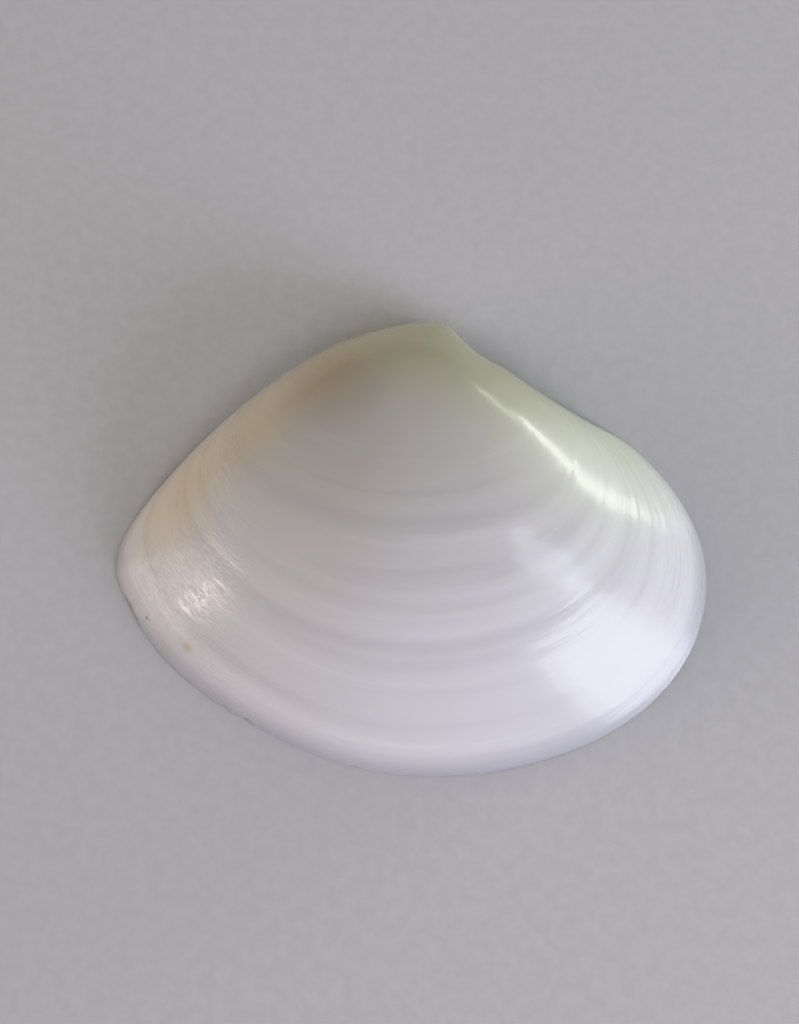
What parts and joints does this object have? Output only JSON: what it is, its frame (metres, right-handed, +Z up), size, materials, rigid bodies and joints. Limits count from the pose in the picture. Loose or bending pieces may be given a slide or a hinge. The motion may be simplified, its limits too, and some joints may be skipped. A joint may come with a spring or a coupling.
{
  "type": "trough shell valve",
  "caption": "Single glossy white valve of a trough shell, smooth and domed with fine growth lines, resting hollow side down on its rim.",
  "frame": {"origin": "on the plane of the rim, under the middle of the shell's bounding box", "axes": "+X towards the front end, +Y towards the hinge, +Z up through the domed outside; the hollow faces -Z"},
  "size_m": [0.0496, 0.0376, 0.0108],
  "materials": {
    "shell": "glossy"
  },
  "bodies": {
    "root": {"valve": "shell"}
  },
  "joints": []
}
